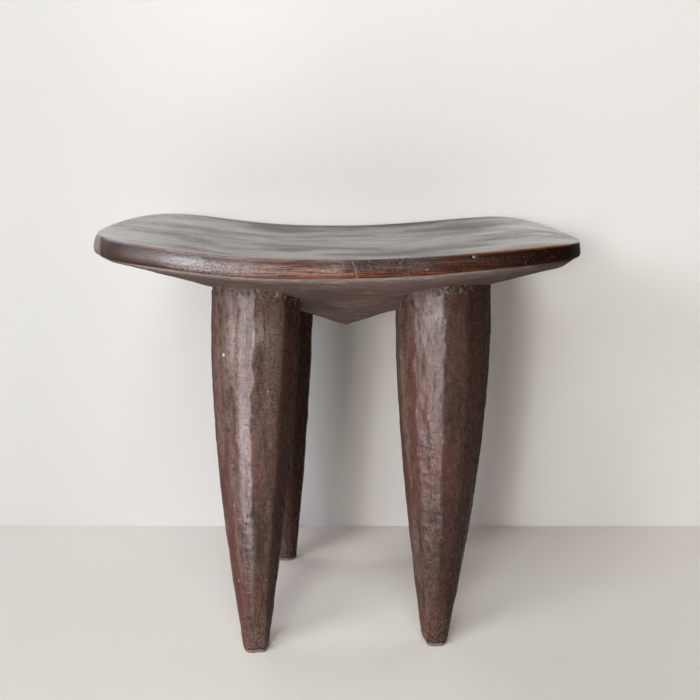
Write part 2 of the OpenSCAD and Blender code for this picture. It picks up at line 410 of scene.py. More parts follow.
def seat_rings(seat):
    """Rings of the seat from the middle of its top, over the band, to the middle of its lower face.
    The band has a wobble, tool cuts and nicks, each of which is e to the minus of the squared
    distance from it. The marks for the band, its rubbed edges and the stripe of painted shade start
    and end at shares of the way down it."""
    turns = even_turns(EDGE_POINTS, seat)
    edge_x, edge_y = plan(turns, 0, seat)
    run = np.arange(EDGE_POINTS) / EDGE_POINTS
    wobble = BAND_WOBBLE * (1 + lattice_noise(run, 0 * run, 34, 1, 11, wrap=True))
    inset, drop = band_profile(edge_x, seat)
    down = np.linspace(0, 1, len(inset))[:, None] * np.ones(EDGE_POINTS)
    around = np.broadcast_to(run, down.shape)
    cuts = BAND_CUT * (1 - tool_cuts(around, down * 0.6 + 0.2, 40, 3, 5, wrap=True))
    dents = [np.exp(-((edge_x - x) ** 2 + (drop - low) ** 2) / radius ** 2) * (edge_y < 0)
             for x, low, radius, _ in NICKS]
    nicks = sum(dent * nick[-1] for dent, nick in zip(dents, NICKS))
    x, y = plan(turns, inset + wobble + eased(down, 0, 0.2) * cuts + nicks, seat)
    band = np.stack([x, y, top_height(x, seat) - drop], -1)
    start = inset[0] + wobble + seat.arris * math.sin(ARRIS_TURN) * ARRIS_GAP
    top, lower = top_rings(turns, start, seat), lower_rings(turns, seat)
    shaded_stripe = eased(down, *SHADED_STRIPE) * eased(down, *TO_SHADED_STRIPE) * eased(x, *SHADED_STRIPE_ALONG)
    band_marks = {"upper_edge": eased(down, *UPPER_EDGE),
                  "lower_edge": eased(down, *LOWER_EDGE) * eased(down, *TO_LOWER_EDGE),
                  "shaded_stripe": shaded_stripe, "nick": sum(dents)}
    off_top, off_low = np.zeros(top.shape[:2]), np.zeros(lower.shape[:2])
    marks = {"band": np.concatenate([off_top, eased(down, *BAND_START), off_low + 1])}
    for mark, values in band_marks.items():
        marks[mark] = np.concatenate([off_top, values, off_low])
    return np.concatenate([top, band, lower]), marks


# Points round the belly, its rings below and above, the height of its roughness, and the shares
# of the way out over which its cuts fade and its dusty rim comes
BELLY_POINTS = 480
BELLY_RINGS = 110
COVER_RINGS = 5
BELLY_ROUGH = 0.0003
CALM_RIM = (0.94, 1)
DUSTY_RIM = (0.93, 0.99)

# How much closer the belly's rings stand near its point, and how far its lower face starts inside
# its edge at the left and right ends
RING_CROWDING = 1.15
EDGE_STEP = (0.002, 0.011)


def belly_edge(seat, belly):
    """The belly's edge as seen from its point: the direction, distance, height and fullness of
    points that lie at even steps along it."""
    x, y = plan(even_turns(BELLY_POINTS, seat), seat.under_round, seat)
    endwise = ((x - belly.point_x) / (seat.length / 2)) ** 2
    sideways = (y / (seat.depth / 2)) ** 2
    share = endwise / (endwise + sideways)
    thick = along_seat(x, belly.edge_left, belly.edge_right, seat)
    return {
        "direction": np.unwrap(np.arctan2(y, x - belly.point_x)),
        "reach": np.hypot(x - belly.point_x, y),
        "height": slab_height(x, seat) - thick,
        "slope": belly.end_slope * share + belly.side_slope * (1 - share),
        "x": x,
        "y": y,
    }


def belly_height(x, y, seat, belly, edge):
    """Height of the belly's lower face over a place. Along the line from the point to the edge it
    is point + (edge - point) * share^slope, with the share rounded near the point. The adze cuts
    are taken out of it, and both fade at the edge."""
    direction = np.arctan2(y, x - belly.point_x)
    reach, height, slope = (np.interp(direction, edge["direction"], edge[key], period=2 * np.pi)
                            for key in ("reach", "height", "slope"))
    share = np.minimum(np.hypot(x - belly.point_x, y) / reach, 1)
    blunt = belly.blunt / reach
    run = (np.hypot(share, blunt) - blunt) / (np.hypot(1, blunt) - blunt)
    point = slab_middle(seat) - belly.drop
    u, v = x / seat.length + 0.5, y / seat.depth + 0.5
    calm = 1 - eased(share, *CALM_RIM)
    cuts = belly.cut * (1 - tool_cuts(u, v, 13, 22, 31)) * calm
    rough = BELLY_ROUGH * lattice_noise(u, v, 60, 90, 32) * calm
    return point + (height - point) * run ** slope + cuts + rough


def belly_rings(seat, belly):
    """Rings of the belly from under the middle of the seat's slab, out to its edge and down its
    lower face to the point."""
    edge = belly_edge(seat, belly)
    out = np.linspace(0, 1, COVER_RINGS + 1)[1:, None]
    top_x, top_y = out * edge["x"], out * edge["y"]
    top = np.stack([top_x, top_y, slab_height(top_x, seat)], -1)
    share = np.linspace(1, 0, BELLY_RINGS + 1)[:-1, None] ** RING_CROWDING
    share = share * (1 - along_seat(edge["x"], *EDGE_STEP, seat) / edge["reach"])
    low_x = belly.point_x + (edge["x"] - belly.point_x) * share
    low_y = edge["y"] * share
    low = np.stack([low_x, low_y, belly_height(low_x, low_y, seat, belly, edge)], -1)
    rim = np.concatenate([np.zeros(top.shape[:2]), eased(share, *DUSTY_RIM)])
    return np.concatenate([top, low]), {"rim": rim}


# Points and rings of a leg, rounds in which its top is found, how far it goes into the belly, and
# the share of the slab's height that its noises reach
LEG_POINTS = 288
LEG_RINGS = 300
ROOT_ROUNDS = 12
ROOT_COVER = 0.0015
NOISE_REACH = 1.05

# The rough collar at a leg's top and the chips at its foot, and heights over which the foot grows
# square and the knife cuts deepen
COLLAR_HEIGHT = 0.012
COLLAR_ROUGH = 0.0013
CHIP_HEIGHT = 0.011
CHIP_DEPTH = 0.0018
SQUARE_FOOT = (0.07, 0.004)
CUT_START = (0, 0.03)

# Knife scoops up a leg, and how far the ridges between its facets sway: slowly, from scoop to
# scoop, and by noises. A noise has an amount, cells round and along the leg, and its own draw.
SCOOPS = 9
SCOOP_DEPTH = 0.0002
SLOW_SWAY = math.radians(2.5)
SCOOP_SWAY = math.radians(1.7)
NOISE_SWAYS = ((math.radians(2.6), 9, 23, 0), (math.radians(1.2), 13, 61, 7))
FINE_NOISES = ((0.00016, 72, 90, 2), (0.0001, 24, 140, 5))

# Where the dull mark starts and ends between the open side and the dark one, heights over which it
# grows, and its share under them
DULL, TO_DULL = (-0.05, 0.14), (0.9, 0.6)
DULL_HEIGHT = (0.15, 0.3)
DULL_FOOT = 0.3

# Rings of the bevel round a foot, as shares of its height, and how much further in the last one
# lies, as a share of the way to the foot's middle
BEVEL_STEPS = (0.02, 0.35, 0.7, 0.98, 1)
BEVEL_END = 0.04

# Each leg: greatest width, foot, root, shoulder at its top, ridges round it in degrees with how
# sharp each is, where its painted shade faces, how dull and how red its front is, pale flecks at a
# turn and height, patches of painted sheen with their half width and half height too, a piece broken
# off the foot by where it faces, its height and depth, and seed
LEGS = {
    "front_left": {
        "width": 0.085, "foot": (-0.084, -0.114), "root": (-0.077, -0.1), "shoulder": 0.0004,
        "ridges": (210, 235, 255, 272, 312, 346, 376, 414, 450, 486, 520, 548),
        "sharp": (0.2, 0.1, 0.1, 0.8, 0.6, 0.5, 0.4, 0.4, 0.5, 0.4, 0.5, 0.4),
        "dark_side": 358, "dull": 1, "red": 0.62, "flecks": ((228, 0.078), (229, 0.302)),
        "blooms": ((243, 0.318, 0.016, 0.036), (283, 0.324, 0.011, 0.013),
                   (260, 0.215, 0.007, 0.055), (262, 0.13, 0.007, 0.045)),
        "nibble": (30, 0.006, 0.0015), "seed": 41},
    "front_right": {
        "width": 0.091, "foot": (0.094, -0.101), "root": (0.096, -0.096), "shoulder": 0.0003,
        "ridges": (206, 232, 253, 270, 300, 326, 356, 388, 424, 460, 496, 532),
        "sharp": (0.3, 0.2, 0.4, 0.42, 0.2, 0.1, 0.3, 0.4, 0.4, 0.5, 0.4, 0.4),
        "dark_side": 333, "dull": 0.15, "red": 0.45, "flecks": ((100, 0.25),),
        "blooms": ((242, 0.33, 0.006, 0.019), (261, 0.34, 0.0045, 0.008)),
        "nibble": (192, 0.0095, 0.006), "seed": 52},
    "back_left": {
        "width": 0.084, "foot": (-0.068, 0.105), "root": (-0.074, 0.097), "shoulder": 0.0006,
        "ridges": (203, 240, 275, 300, 338, 372, 406, 442, 478, 512, 540),
        "sharp": (0.4, 0.5, 0.4, 1, 0.5, 0.4, 0.5, 0.9, 0.4, 0.5, 0.4),
        "dark_side": 345, "dull": 0.2, "red": 0.7, "flecks": ((80, 0.2),),
        "blooms": ((180, 0.3, 0.01, 0.03),), "nibble": (240, 0.005, 0.001), "seed": 63},
    "back_right": {
        "width": 0.086, "foot": (0.11, 0.101), "root": (0.107, 0.096), "shoulder": 0.0006,
        "ridges": (196, 232, 266, 302, 330, 364, 400, 436, 472, 506, 532),
        "sharp": (0.4, 0.5, 0.4, 0.5, 0.4, 0.9, 0.5, 0.4, 0.9, 0.5, 0.4),
        "dark_side": 345, "dull": 0.2, "red": 0.7, "flecks": ((60, 0.12),),
        "blooms": ((60, 0.3, 0.01, 0.03),), "nibble": (100, 0.005, 0.002), "seed": 74},
}


def facet_reach(turn, ridges, sharp):
    """Reach of a many-sided trunk beside the round one. Over a facet it is 1 - k (1 - d^2), with d
    from -1 to 1 across it and k one less the cosine of half of it. By a ridge that isn't sharp it
    leans to 1 - k (1 - d^2)^2, which rounds the ridge off."""
    corners = np.radians(np.append(ridges, ridges[0] + 360))
    sharpness = np.append(sharp, sharp[0])
    turn = corners[0] + (turn - corners[0]) % (2 * np.pi)
    after = np.clip(np.searchsorted(corners, turn), 1, len(corners) - 1)
    low, high = corners[after - 1], corners[after]
    way = (turn - low) / (high - low)
    crisp = sharpness[after - 1] * (1 - way) + sharpness[after] * way
    dip = 1 - (2 * way - 1) ** 2
    return 1 - (1 - np.cos((high - low) / 2)) * dip * (crisp + (1 - crisp) * dip)


def leg_outline(turn, height, top, leg, legs, seat):
    """Place of the leg's surface at a turn and height, with its marks for the collar and for how
    much it faces the side given painted shade. The centre runs from the foot to the root with a bow,
    the radius swells from the foot as 1 - (1 - h)^fullness, and facets, knife cuts, the shoulder
    under the seat and the chips at the foot are taken off it, with a rough collar over it. Down at
    the foot it swells towards a square with round corners, where x^4 + y^4 stays the same."""
    slab = slab_middle(seat)
    up = height / slab
    foot = legs.foot_width / 2
    below = np.maximum(0, 1 - height / legs.thickest)
    above = np.maximum(0, height - legs.thickest) / (slab - legs.thickest)
    radius = (foot + (leg.width / 2 - foot) * (1 - below ** legs.fullness)
              - legs.neck * above ** 2 / 2)
    u, v = (turn / (2 * np.pi)) % 1, up / NOISE_REACH

    def noise(across, along, draw):
        return lattice_noise(u, v, across, along, leg.seed + draw, wrap=True)

    phase = SCOOPS * up + 0.5 * np.sin(5 * up + leg.seed) + 0.9 * noise(7, 4, 6)
    scoops = np.abs(np.sin(np.pi * phase))
    sway = SLOW_SWAY * np.sin(3.1 * up + leg.seed) + SCOOP_SWAY * (scoops - 0.6)
    for amount, *cells in NOISE_SWAYS:
        sway = sway + amount * noise(*cells)
    flat = facet_reach(turn - sway, leg.ridges, leg.sharp)
    cuts = (legs.cut * (1 - tool_cuts(u, v, 15, 11, leg.seed + 1, wrap=True))
            + SCOOP_DEPTH * scoops)
    fine = sum(amount * noise(*cells) for amount, *cells in FINE_NOISES)
    collar = eased(height, top - COLLAR_HEIGHT, top - 0.2 * COLLAR_HEIGHT)
    broken = 0.55 + 0.55 * noise(11, 24, 8)
    rough = COLLAR_ROUGH * collar * broken * noise(96, 150, 3)
    shoulder = leg.shoulder * np.clip((height - top + COLLAR_HEIGHT) / COLLAR_HEIGHT, 0, 1) ** 2
    low = eased(height, CHIP_HEIGHT, 0)
    chips = CHIP_DEPTH * low * np.maximum(0, noise(9, 90, 4))
    facing, rise, deep = leg.nibble
    toward = np.maximum(0, np.cos(turn - math.radians(facing))) ** 3
    chips = chips + deep * toward * np.maximum(0, 1 - height / rise)
    corner = (np.abs(np.cos(turn)) ** 4 + np.abs(np.sin(turn)) ** 4) ** -0.25
    flat = flat * (1 + legs.squareness * eased(height, *SQUARE_FOOT) * (corner - 1))
    reach = (radius * (1 + (flat - 1) * legs.flatness)
             - cuts * eased(height, *CUT_START) + fine + rough - shoulder - chips)
    bow = legs.bow * np.sin(np.pi * up) * np.sign(leg.foot[0])
    centre_x = leg.foot[0] + (leg.root[0] - leg.foot[0]) * up + bow
    centre_y = leg.foot[1] + (leg.root[1] - leg.foot[1]) * up
    away = np.cos(turn - math.radians(leg.dark_side))
    return (centre_x + reach * np.cos(turn),
            centre_y + reach * legs.roundness * np.sin(turn), collar, away)


def leg_spot(turn, height, leg, facing, level, across, along):
    """A soft spot on a leg: e to the minus of the squared distances from it, across and along."""
    aside = np.abs((turn - math.radians(facing) + np.pi) % (2 * np.pi) - np.pi) * leg.width / 2
    return np.exp(-((aside / across) ** 2 + ((height - level) / along) ** 2))


def leg_rings(leg, legs, seat, belly):
    """Rings of a leg from just inside the belly to the floor, with marks for its finish. The top
    ring's height is found by following the leg's sides up to the belly's lower face, some rounds
    over. The dull mark is full between the open side and the dark one, and less at the foot."""
    edge = belly_edge(seat, belly)
    turn = np.linspace(0, 2 * np.pi, LEG_POINTS, endpoint=False)
    top = np.full(LEG_POINTS, seat.height - belly.drop / 2)
    for _ in range(ROOT_ROUNDS):
        x, y, *_ = leg_outline(turn, top, top, leg, legs, seat)
        top = belly_height(x, y, seat, belly, edge)
    share = np.linspace(1, 0, LEG_RINGS)[:, None]
    height = legs.bevel + (top + ROOT_COVER - legs.bevel) * share
    x, y, collar, away = leg_outline(turn[None, :], height, top[None, :], leg, legs, seat)
    down = np.array(BEVEL_STEPS)[:, None]
    worn = legs.bevel_in * down / (legs.foot_width / 2)
    worn[-1] += BEVEL_END
    foot_x = x[-1] - (x[-1] - leg.foot[0]) * worn
    foot_y = y[-1] - (y[-1] - leg.foot[1]) * worn
    foot_z = legs.bevel * (1 - down) * np.ones(LEG_POINTS)
    rings = np.concatenate([np.stack([x, y, height], -1),
                            np.stack([foot_x, foot_y, foot_z], -1)])
    away = away * np.ones_like(x)
    fleck = sum(leg_spot(turn, height, leg, *place, legs.fleck, legs.fleck) for place in leg.flecks)
    painted_sheen = sum(leg_spot(turn, height, leg, *place) for place in leg.blooms)
    dull = leg.dull * eased(away, *DULL) * eased(away, *TO_DULL)
    dull = dull * (DULL_FOOT + (1 - DULL_FOOT) * eased(height, *DULL_HEIGHT))
    upper_marks = {"collar": collar, "fleck": fleck, "painted_sheen": painted_sheen, "dull": dull}
    marks = {mark: np.concatenate([values, 0 * foot_x]) for mark, values in upper_marks.items()}
    marks["red"] = np.full(rings.shape[:2], leg.red)
    marks["shade"] = np.concatenate([away, np.repeat(away[-1:], len(foot_x), axis=0)])
    return rings, marks, top.mean()


class Finish:
    """A finish being built. Most calls add a shader node and give its output."""

    def __init__(self, name):
        self.material = bpy.data.materials.new(name)
        self.material.use_nodes = True
        self.tree = self.material.node_tree
        self.shader = self.tree.nodes["Principled BSDF"]
        self.place = self.node("ShaderNodeTexCoord").outputs["Object"]

    def feed(self, socket, value):
        """Joins an output to a socket, or sets the socket's own value."""
        if isinstance(value, bpy.types.NodeSocket):
            self.tree.links.new(value, socket)
        else:
            socket.default_value = value

    def node(self, kind, sockets=None, **options):
        """A node with its options set and its sockets fed."""
        made = self.tree.nodes.new(kind)
        for key, value in options.items():
            setattr(made, key, value)
        for key, value in (sockets or {}).items():
            self.feed(made.inputs[key], value)
        return made

    def axes(self):
        """Object coordinates along x, y and z."""
        return self.node("ShaderNodeSeparateXYZ", {"Vector": self.place}).outputs

    def noise(self, features, detail=3, roughness=0.5, distortion=0):
        """Noise from 0 to 1 with so many features to the metre along each axis."""
        spread = self.node("ShaderNodeMapping", {"Vector": self.place, "Scale": features})
        sockets = {"Vector": spread.outputs[0], "Scale": 1, "Detail": detail,
                   "Roughness": roughness, "Distortion": distortion}
        return self.node("ShaderNodeTexNoise", sockets).outputs["Fac"]

    def within(self, value, low, high):
        """0 at low, 1 at high and a smooth step between them. low may be above high."""
        flip = low > high
        sockets = {"Value": value, "From Min": min(low, high), "From Max": max(low, high),
                   "To Min": 1 if flip else 0, "To Max": 0 if flip else 1}
        return self.node("ShaderNodeMapRange", sockets, interpolation_type="SMOOTHSTEP").outputs[0]

    def ranged(self, value, low, high):
        """A factor of 0 to 1 spread evenly from low to high."""
        sockets = {"Value": value, "To Min": low, "To Max": high}
        return self.node("ShaderNodeMapRange", sockets).outputs[0]

    def work(self, kind, a, b=0):
        """One step of arithmetic."""
        made = self.node("ShaderNodeMath", operation=kind)
        self.feed(made.inputs[0], a)
        self.feed(made.inputs[1], b)
        return made.outputs[0]

    def product(self, *factors):
        """Factors multiplied together. One in brackets is a step: a value and its two ends."""
        parts = [self.within(*part) if isinstance(part, tuple) else part for part in factors]
        whole = parts[0]
        for part in parts[1:]:
            whole = self.work("MULTIPLY", whole, part)
        return whole

    def mark(self, name):
        """A value that the mesh carries at each point."""
        return self.node("ShaderNodeAttribute", attribute_name=name).outputs["Fac"]

    def blend(self, factor, a, b):
        """The colour a where the factor is 0, and b where it is 1."""
        made = self.node("ShaderNodeMix", data_type="RGBA")
        self.feed(made.inputs[0], factor)
        for socket, colour in ((6, a), (7, b)):
            linked = isinstance(colour, bpy.types.NodeSocket)
            self.feed(made.inputs[socket], colour if linked else (*colour, 1))
        return made.outputs[2]

    def two_tone(self, colour, dark, light, factor):
        """A colour at two levels, the first where the factor is 0."""
        return self.blend(factor, shade(colour, dark), shade(colour, light))

    def coats(self, under, *layers):
        """Colours laid over one another in turn. Each layer is a colour, its level, and the factors
        whose product is its strength."""
        for colour, level, *factors in layers:
            under = self.blend(self.product(*factors), under, shade(colour, level))
        return under

    def relief(self, *layers):
        """A bumped normal. Each layer is a height, its distance and strength, and lies over the
        one before it."""
        normal = None
        for height, distance, strength in layers:
            sockets = {"Height": height, "Distance": distance, "Strength": strength}
            if normal is not None:
                sockets["Normal"] = normal
            normal = self.node("ShaderNodeBump", sockets).outputs[0]
        return normal

    def done(self, colour, roughness, normal, specular=0.5):
        """Feeds the shader and gives the material."""
        inputs = self.shader.inputs
        self.feed(inputs["Base Color"], colour)
        self.feed(inputs["Roughness"], roughness)
        self.feed(inputs["Specular IOR Level"], specular)
        self.feed(inputs["Normal"], normal)
        return self.material


def shade(colour, level):
    """A colour made lighter or darker by one factor."""
    return tuple(min(1, part * level) for part in colour)


# Features to the metre of the patterns that give both colour and relief
SEAT_FIBRES = (10, 150, 420)
BELLY_FIBRES = (18, 300, 620)
BELLY_GRIT = (380, 800, 800)
LEG_WRINKLES = (70, 70, 640)
LEG_MOTTLE = (230, 230, 110)
LEG_STREAKS = (130, 130, 15)
LEG_GRIT = (620, 620, 560)

# Stretches of the seat in metres right of its middle, or from its middle for the first two, each
# from where a finish starts to show to where it is full. Those named TO_ are the stretch's far end.
SHEEN_ENDS = (0.13, 0.2)
GRAINY_MIDDLE = (0.2, 0.11)
RUBBED, TO_RUBBED = (-0.12, -0.04), (0.15, 0.07)
PALE_AND_SHEEN, TO_PALE_AND_SHEEN = (-0.13, -0.07), (0.01, -0.004)
SILVER_SHEEN, TO_SILVER_SHEEN = (-0.165, -0.125), (-0.05, -0.11)
GLINT, TO_GLINT = (-0.213, -0.205), (-0.165, -0.185)
UPPER_WEAR, TO_UPPER_WEAR = (-0.19, -0.16), (0.222, 0.2)
WORN_LEFT, WORN_RIGHT = (0.02, -0.03), (0.08, 0.14)
DARK_MIDDLE = (0.006, 0.02)
SHADED_RIGHT = (0.09, 0.17)
DULL_LEFT = (-0.14, -0.18)
ROUGH_LEFT = (-0.135, -0.17)
# The two end facets below carry a painted reflection
LEFT_FACET = (-0.211, -0.215)
RIGHT_FACET = (0.2225, 0.2325)
LESS_SHINE, LEAST_SHINE = (-0.005, 0.03), (0.1, 0.2)

# Where painted shade darkens the belly towards the right, and heights on the legs where dust, the
# dark line over the foot, its weathered bevel and the painted contact shadow at its sole start and
# are full
SHADED_BELLY = (0.08, 0.18)
DUSTY_FOOT = (0.055, 0.004)
DARK_LINE, TO_DARK_LINE = (0.0032, 0.0038), (0.0062, 0.0048)
BEVEL = (0.0038, 0.0032)
PAINTED_CONTACT_SHADOW = (0.001, 0.0004)


def seat_top(f, seat, fibres, broad, smudges, clouds, aside):
    """Wood of the top: dark fibres with redder clouds and darker smudges, and a painted pale
    reflection on both ends.
    """
    dark = seat.top_colour
    return f.coats(
        f.two_tone(dark, 0.7, 1.4, f.within(fibres, 0.25, 0.75)),
        (seat.band_colour, 0.8, (broad, 0.4, 0.66)),
        (dark, 0.3, (smudges, 0.4, 0.75), 0.6),
        # Painted reflection: pale grey on both ends of the top
        (seat.end_sheen_colour, 1, (aside, *SHEEN_ENDS), f.ranged(clouds, 0.5, 0.9)))


def seat_band(f, seat, along, grit):
    """Wood of the band. Over its red flecks come, in turn: orange glints in the rubbed middle, a
    left part that is paler wood and painted sheen, a darker middle and painted shade on the right
    end, painted silver sheen specks, dark and orange grit, a stripe of painted shade under the
    arris, the duller left end, painted reflections on both end facets, the worn lower and upper
    edges and a cool glint."""
    flecks = f.noise((26, 190, 900), detail=7, roughness=0.7, distortion=0.3)
    stripes = f.noise((9, 90, 380))
    rubbed = f.product((along, *RUBBED), (along, *TO_RUBBED))
    worn_ends = f.work("MAXIMUM", f.ranged(f.within(along, *WORN_LEFT), 0.15, 0.6),
                       f.ranged(f.within(along, *WORN_RIGHT), 0.15, 0.75))
    worn_ends = f.product(worn_ends, (along, *TO_UPPER_WEAR))
    upper, lower = f.mark("upper_edge"), f.mark("lower_edge")
    red, worn = seat.band_colour, seat.worn_colour
    return f.coats(
        f.two_tone(red, 0.22, 1.25, f.within(flecks, 0.36, 0.62)),
        (worn, 0.72, (flecks, 0.49, 0.62), (stripes, 0.46, 0.6), f.ranged(rubbed, 0.15, 0.9)),
        # Paler wood and painted sheen on the left half
        (seat.pale_wood_and_sheen_colour, 1, (along, *PALE_AND_SHEEN), (along, *TO_PALE_AND_SHEEN), (flecks, 0.38, 0.6), 0.75),
        (red, 0.2, (along, *DARK_MIDDLE), 0.35),
        # Painted shade: the band's right end darkened, away from the light
        (red, 0.06, (along, *SHADED_RIGHT), 0.92),
        # Painted sheen: silver specks
        (seat.silver_sheen_colour, 1, (along, *SILVER_SHEEN), (along, *TO_SILVER_SHEEN), (grit, 0.4, 0.56), 0.5),
        (red, 0.12, (grit, 0.47, 0.36), 0.7),
        (worn, 0.7, (grit, 0.56, 0.68), 0.5),
        # Painted shade: a dark stripe under the arris
        (red, 0.15, f.mark("shaded_stripe"), 0.75),
        (seat.top_colour, 0.8, (along, *DULL_LEFT), 0.68),
        # Painted reflections: pale grey on the left and right end facets
        (seat.end_sheen_colour, 1.1, (along, *LEFT_FACET), 0.75),
        (seat.end_sheen_colour, 0.8, (along, *RIGHT_FACET), 0.7),
        (worn, 0.75, lower, f.ranged(rubbed, 0.05, 0.9), (flecks, 0.4, 0.56)),
        (worn, 0.9, upper, (flecks, 0.36, 0.5), (along, *UPPER_WEAR), worn_ends),
        (seat.glint_colour, 1, upper, (along, *TO_GLINT), (along, *GLINT), 0.8))


def seat_chips(f, across, up, along, grit):
    """Where the front of the band shows bare wood: in the nicks, and in a scratch that slants, and
    wanders as noise of the height alone."""
    wander = f.noise((0, 0, 170), roughness=0.7)
    line = f.work("ADD", along, f.product(wander, SCRATCH_WANDER))
    slant = f.product(f.work("SUBTRACT", up, SCRATCH_Z), SCRATCH_SLANT)
    line = f.work("ADD", line, slant)
    line = f.work("ABSOLUTE", f.work("SUBTRACT", line, SCRATCH_X))
    scratch = f.product((line, *SCRATCH_WIDTH), (grit, 0.36, 0.5), (across, *SCRATCH_FRONT),
                        (up, *SCRATCH_TOP), 0.7)
    nick = f.work("ADD", f.mark("nick"), f.product(f.work("SUBTRACT", grit, 0.5), 1.6))
    return f.work("MAXIMUM", scratch, f.within(nick, 0.45, 0.7))


def seat_finish(seat):
    """Polished dark wood: long fibres along the seat, a glossy top with soft streaks, and a
    redder band that is rougher at its left end and shines less in its right half."""
    f = Finish("seat_wood")
    along, across, up = f.axes()
    fibres = f.noise(SEAT_FIBRES, detail=7, roughness=0.65, distortion=0.3)
    broad = f.noise((5, 17, 40), distortion=0.4)
    clouds = f.noise((9, 36, 36), detail=2, distortion=0.8)
    smudges = f.noise((11, 17, 17), detail=2)
    pores = f.within(f.noise((150, 1150, 1150), detail=1), 0.6, 0.7)
    grit = f.noise((430, 900, 950), roughness=0.7)
    on_band, aside = f.mark("band"), f.work("ABSOLUTE", along)
    top = seat_top(f, seat, fibres, broad, smudges, clouds, aside)
    band = f.coats(seat_band(f, seat, along, grit),
                   (seat.chip_colour, 1, seat_chips(f, across, up, along, grit)))
    colours = f.coats(f.blend(on_band, top, band), (seat.top_colour, 0.3, pores, 0.6))
    gloss = f.ranged(fibres, 0.07, 0.12)
    blunt = f.product(on_band, (along, *ROUGH_LEFT))
    for dulling in (f.ranged(broad, 0, 0.12), f.ranged(f.within(smudges, 0.38, 0.78), 0, 0.24),
                    f.ranged(on_band, 0, 0.1), f.ranged(blunt, 0, 0.22)):
        gloss = f.work("ADD", gloss, dulling)
    bare = f.product(on_band, (along, *LESS_SHINE), f.ranged(f.within(along, *LEAST_SHINE), 0.6, 1))
    inner = f.within(aside, *GRAINY_MIDDLE)
    normal = f.relief(
        (clouds, 0.004, f.ranged(inner, 0.05, 0.2)),
        (f.noise(SEAT_FIBRES, detail=2), 0.0002, f.ranged(inner, 0.1, 0.35)),
        (f.noise((260, 640, 640), detail=1), 0.0006, f.ranged(on_band, 0, 0.38)),
        (f.work("SUBTRACT", 1, pores), 0.0002, 0.15))
    return f.done(colours, gloss, normal, f.ranged(bare, 0.3, 0.06))


def belly_finish(belly):
    """Matt brown wood left from the adze. Over its fine fibres come, in turn: dusty high places, a
    dusty rim, dark and pale grit, scrapes and painted shade on the right end."""
    f = Finish("belly_wood")
    wood, dust = belly.wood_colour, belly.dust_colour
    fibres = f.noise(BELLY_FIBRES, detail=7, roughness=0.72, distortion=0.3)
    patches = f.noise((12, 30, 30), detail=4, roughness=0.6)
    grit = f.noise(BELLY_GRIT, roughness=0.7)
    scrapes = f.noise((45, 420, 420), roughness=0.6, distortion=1)
    colours = f.coats(
        f.two_tone(wood, 0.45, 1.3, f.within(fibres, 0.34, 0.66)),
        (dust, 1, (patches, 0.42, 0.7), 0.6),
        (dust, 1, f.mark("rim"), 0.55),
        (wood, 0.4, (grit, 0.47, 0.35), 0.6),
        (dust, 1.6, (grit, 0.57, 0.7), 0.6),
        (dust, 1.9, (scrapes, 0.56, 0.66), (patches, 0.42, 0.54), 0.8),
        # Painted shade: darker towards the right
        (wood, 0.37, (f.axes()[0], *SHADED_BELLY), 0.6))
    normal = f.relief((f.noise(BELLY_FIBRES, detail=2), 0.0006, 0.6),
                      (f.noise(BELLY_GRIT, detail=1), 0.0006, 0.5))
    return f.done(colours, f.ranged(fibres, 0.45, 0.65), normal)


